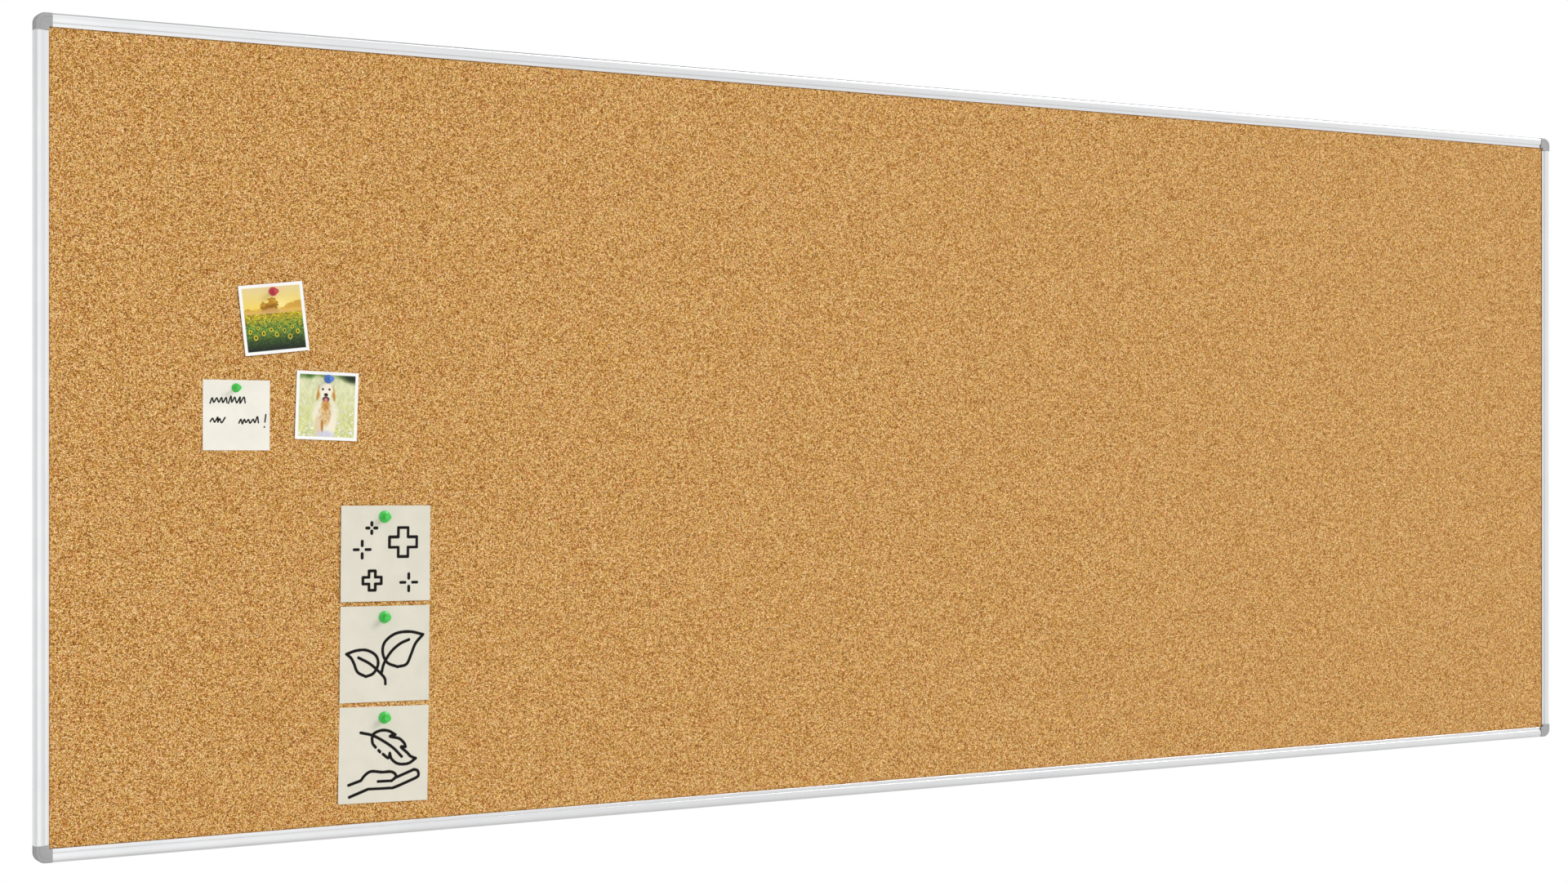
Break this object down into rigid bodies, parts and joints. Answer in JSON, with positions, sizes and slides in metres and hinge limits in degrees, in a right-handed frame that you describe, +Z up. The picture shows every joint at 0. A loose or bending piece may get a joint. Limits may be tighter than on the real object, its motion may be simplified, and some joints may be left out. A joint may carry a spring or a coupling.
{
  "type": "cork bulletin board",
  "caption": "Wide wall-hung cork bulletin board with a slim aluminium frame, grey plastic corner caps, and small papers held by push pins.",
  "frame": {"origin": "centre of the wall-screw pattern, in the plane of the board's back", "axes": "+X to the right along the board, +Y into the wall (the cork faces -Y), +Z up"},
  "size_m": [2.5, 0.024, 1],
  "materials": {
    "frame_aluminium": "satin anodised",
    "cork": "fine agglomerated cork, matte",
    "fibreboard": "raw soft fibreboard",
    "backing": "matte grey backing board",
    "block_plastic": "fine texture",
    "cap_plastic": "fine texture",
    "screw_steel": "zinc plated",
    "needle_steel": "polished",
    "photo_print": "semi-gloss photographic print",
    "note_paper": "uncoated note paper",
    "red_plastic": "gloss",
    "blue_plastic": "gloss",
    "green_plastic": "gloss"
  },
  "bodies": {
    "board": {"frame_rail_top": "frame_aluminium", "frame_rail_bottom": "frame_aluminium", "frame_rail_left": "frame_aluminium", "frame_rail_right": "frame_aluminium", "corner_block_top_left": "block_plastic", "corner_block_top_right": "block_plastic", "corner_block_bottom_left": "block_plastic", "corner_block_bottom_right": "block_plastic", "cork_sheet": "cork", "fibreboard_core": "fibreboard", "backing_sheet": "backing", "corner_screws": "screw_steel"},
    "cap_top_left": {"corner_cap_top_left": "cap_plastic"},
    "cap_top_right": {"corner_cap_top_right": "cap_plastic"},
    "cap_bottom_left": {"corner_cap_bottom_left": "cap_plastic"},
    "cap_bottom_right": {"corner_cap_bottom_right": "cap_plastic"},
    "landscape_pin": {"landscape_pin_head": "red_plastic", "landscape_pin_needle": "needle_steel"},
    "landscape_print": {"landscape_print": "photo_print"},
    "pet_pin": {"pet_pin_head": "blue_plastic", "pet_pin_needle": "needle_steel"},
    "pet_print": {"pet_print": "photo_print"},
    "memo_pin": {"memo_pin_head": "green_plastic", "memo_pin_needle": "needle_steel"},
    "memo_note": {"memo_note": "note_paper"},
    "sparkle_pin": {"sparkle_pin_head": "green_plastic", "sparkle_pin_needle": "needle_steel"},
    "sparkle_note": {"sparkle_note": "note_paper"},
    "leaf_pin": {"leaf_pin_head": "green_plastic", "leaf_pin_needle": "needle_steel"},
    "leaf_note": {"leaf_note": "note_paper"},
    "care_pin": {"care_pin_head": "green_plastic", "care_pin_needle": "needle_steel"},
    "care_note": {"care_note": "note_paper"}
  },
  "joints": [
    {"name": "cap_top_left_pull", "type": "slide", "parent": "board", "child": "cap_top_left", "axis": [0, -1, 0], "range_m": [0, 0.02]},
    {"name": "cap_top_right_pull", "type": "slide", "parent": "board", "child": "cap_top_right", "axis": [0, -1, 0], "range_m": [0, 0.02]},
    {"name": "cap_bottom_left_pull", "type": "slide", "parent": "board", "child": "cap_bottom_left", "axis": [0, -1, 0], "range_m": [0, 0.02]},
    {"name": "cap_bottom_right_pull", "type": "slide", "parent": "board", "child": "cap_bottom_right", "axis": [0, -1, 0], "range_m": [0, 0.02]},
    {"name": "landscape_pin_pull", "type": "slide", "parent": "board", "child": "landscape_pin", "axis": [0, -1, 0], "range_m": [0, 0.025]},
    {"name": "landscape_print_swing", "type": "hinge", "parent": "landscape_pin", "child": "landscape_print", "pos_m": [-0.961, -0.0105, 0.18], "axis": [0, -1, 0], "range_deg": [-30, 30]},
    {"name": "pet_pin_pull", "type": "slide", "parent": "board", "child": "pet_pin", "axis": [0, -1, 0], "range_m": [0, 0.025]},
    {"name": "pet_print_swing", "type": "hinge", "parent": "pet_pin", "child": "pet_print", "pos_m": [-0.8895, -0.0105, 0.073], "axis": [0, -1, 0], "range_deg": [-30, 30]},
    {"name": "memo_pin_pull", "type": "slide", "parent": "board", "child": "memo_pin", "axis": [0, -1, 0], "range_m": [0, 0.025]},
    {"name": "memo_note_swing", "type": "hinge", "parent": "memo_pin", "child": "memo_note", "pos_m": [-1.0075, -0.0105, 0.061], "axis": [0, -1, 0], "range_deg": [-30, 30]},
    {"name": "sparkle_pin_pull", "type": "slide", "parent": "board", "child": "sparkle_pin", "axis": [0, -1, 0], "range_m": [0, 0.025]},
    {"name": "sparkle_note_swing", "type": "hinge", "parent": "sparkle_pin", "child": "sparkle_note", "pos_m": [-0.8155, -0.0105, -0.0995], "axis": [0, -1, 0], "range_deg": [-20, 20]},
    {"name": "leaf_pin_pull", "type": "slide", "parent": "board", "child": "leaf_pin", "axis": [0, -1, 0], "range_m": [0, 0.025]},
    {"name": "leaf_note_swing", "type": "hinge", "parent": "leaf_pin", "child": "leaf_note", "pos_m": [-0.8155, -0.0105, -0.226], "axis": [0, -1, 0], "range_deg": [-20, 20]},
    {"name": "care_pin_pull", "type": "slide", "parent": "board", "child": "care_pin", "axis": [0, -1, 0], "range_m": [0, 0.025]},
    {"name": "care_note_swing", "type": "hinge", "parent": "care_pin", "child": "care_note", "pos_m": [-0.8155, -0.0105, -0.3525], "axis": [0, -1, 0], "range_deg": [-20, 20]}
  ]
}
